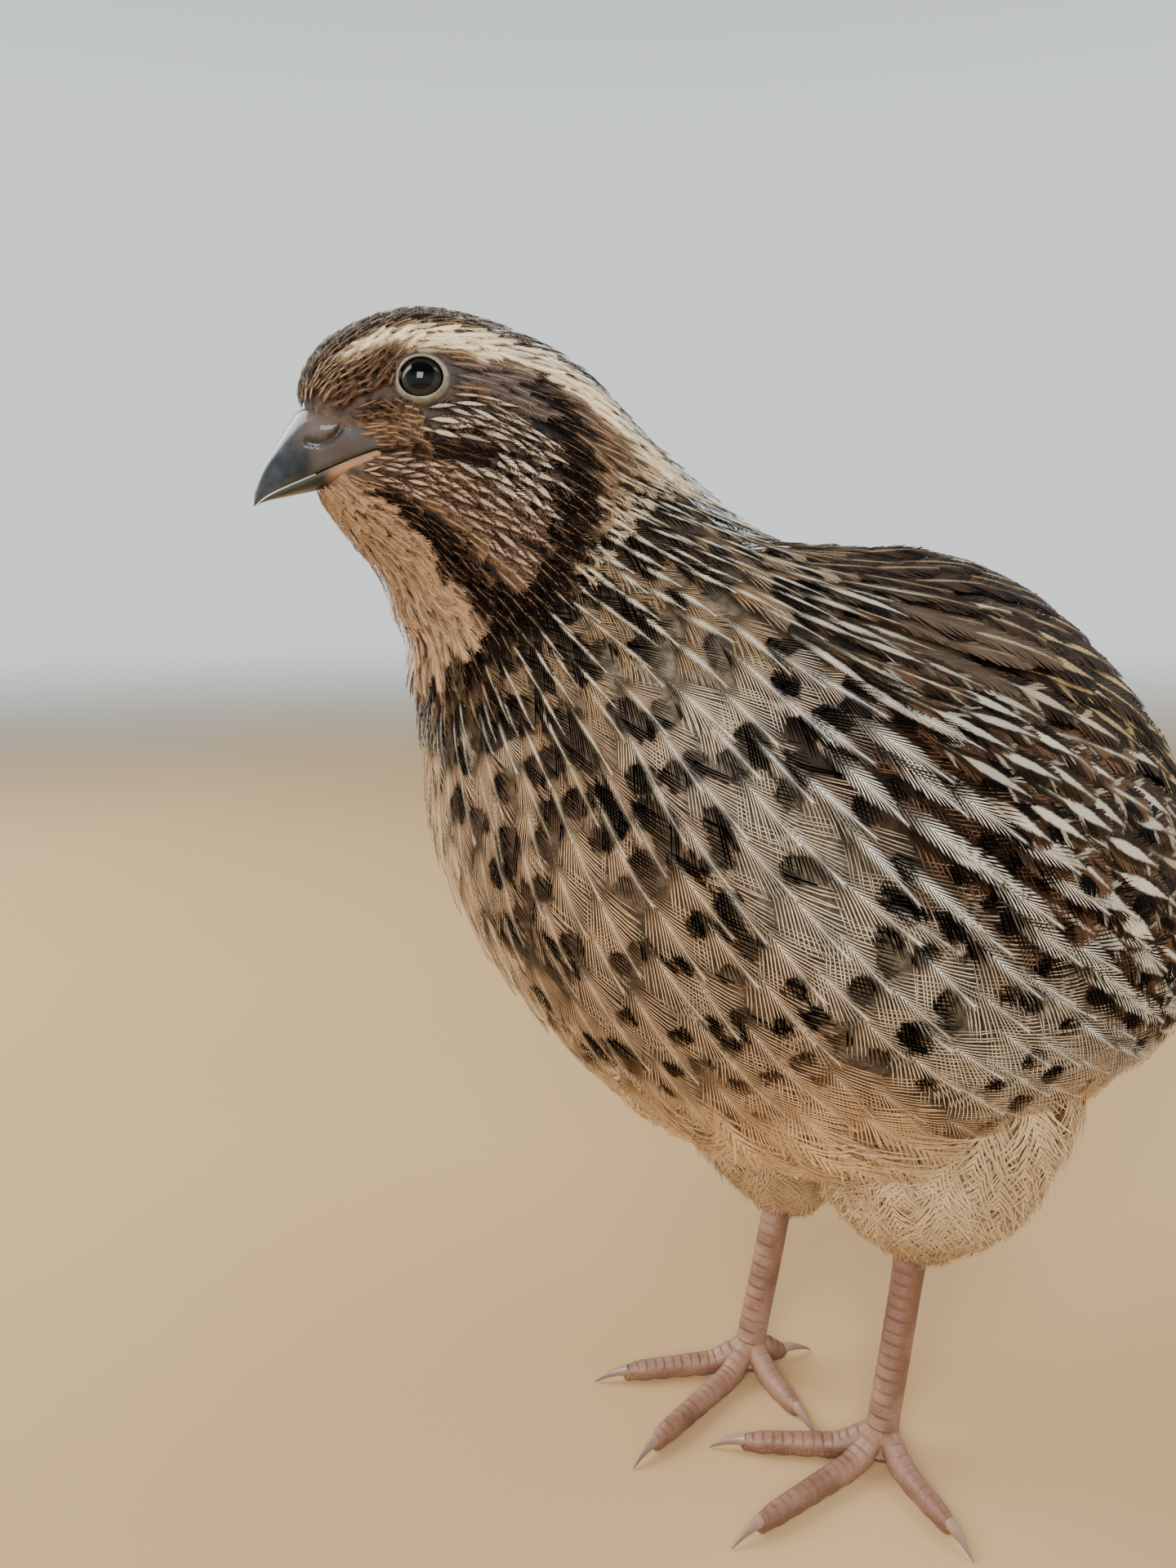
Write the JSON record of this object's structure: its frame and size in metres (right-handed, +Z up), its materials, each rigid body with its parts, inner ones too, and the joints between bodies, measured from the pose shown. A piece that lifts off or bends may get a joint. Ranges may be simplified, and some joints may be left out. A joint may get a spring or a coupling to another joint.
{
  "type": "coturnix quail",
  "caption": "Life-size still model of a standing hen coturnix quail with its head turned to its right, spotted breast, folded wings, short tail and scaled bare feet.",
  "frame": {"origin": "on the floor under the middle of the whole bird's box", "axes": "+X is the way the body faces, +Y is the bird's left, +Z is up, with the toes' undersides on z = 0"},
  "size_m": [0.1502, 0.0918, 0.1506],
  "materials": {
    "head_feathers": "matt, small feathers",
    "neck_feathers": "matt, feathers",
    "body_feathers": "matt, feathers",
    "wing_feathers": "satin, feathers",
    "tail_feathers": "satin, feathers",
    "thigh_feathers": "matt, down",
    "bill": "satin horn",
    "eye": "wet gloss",
    "scales": "satin scutes",
    "claw": "satin horn"
  },
  "bodies": {
    "root": {"head": "head_feathers", "bill_upper": "bill", "bill_lower": "bill", "eye_left": "eye", "eye_right": "eye", "neck": "neck_feathers", "torso": "body_feathers", "wing_left": "wing_feathers", "wing_right": "wing_feathers", "tail": "tail_feathers", "thigh_left": "thigh_feathers", "thigh_right": "thigh_feathers", "leg_left": "scales", "leg_right": "scales", "toe_left_inner": "scales", "claw_left_inner": "claw", "toe_left_middle": "scales", "claw_left_middle": "claw", "toe_left_outer": "scales", "claw_left_outer": "claw", "toe_left_hind": "scales", "claw_left_hind": "claw", "toe_right_outer": "scales", "claw_right_outer": "claw", "toe_right_middle": "scales", "claw_right_middle": "claw", "toe_right_inner": "scales", "claw_right_inner": "claw", "toe_right_hind": "scales", "claw_right_hind": "claw"}
  },
  "joints": []
}
